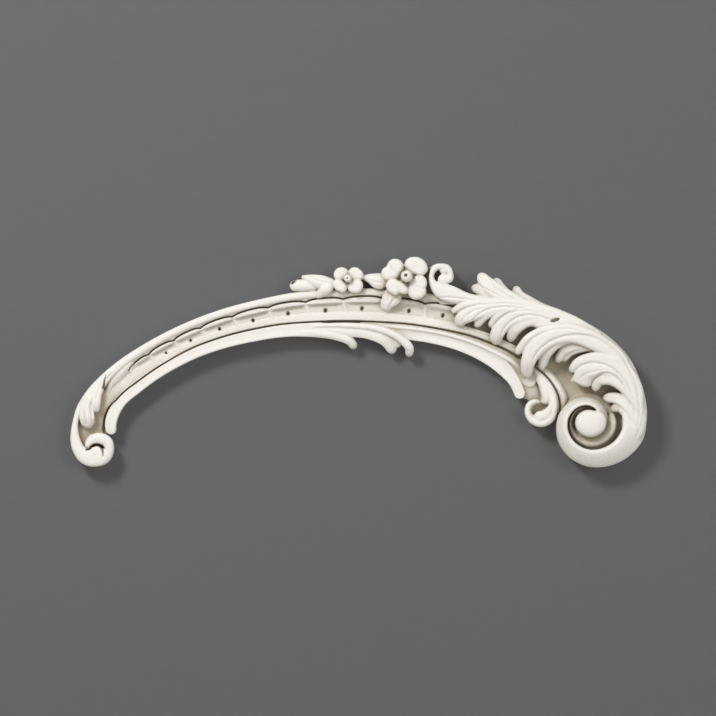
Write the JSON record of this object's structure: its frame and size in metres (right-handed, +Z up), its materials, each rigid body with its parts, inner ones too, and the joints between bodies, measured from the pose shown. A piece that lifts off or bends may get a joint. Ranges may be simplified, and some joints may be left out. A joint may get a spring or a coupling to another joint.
{
  "type": "ceiling moulding",
  "caption": "Cast plaster C-scroll ceiling ornament: an arched rail with hollow scallops and flowers, ending in an acanthus leaf that rolls into a volute.",
  "frame": {"origin": "on the flat back, behind the crown of the arch where the scallops stand", "axes": "+X along the moulding towards the large volute, +Y out of the flat back into the ceiling or wall, +Z up in the picture, from the arch's open side to its crown"},
  "size_m": [0.5997, 0.0365, 0.22],
  "materials": {
    "plaster": "matt"
  },
  "bodies": {
    "root": {"moulding": "plaster"}
  },
  "joints": []
}
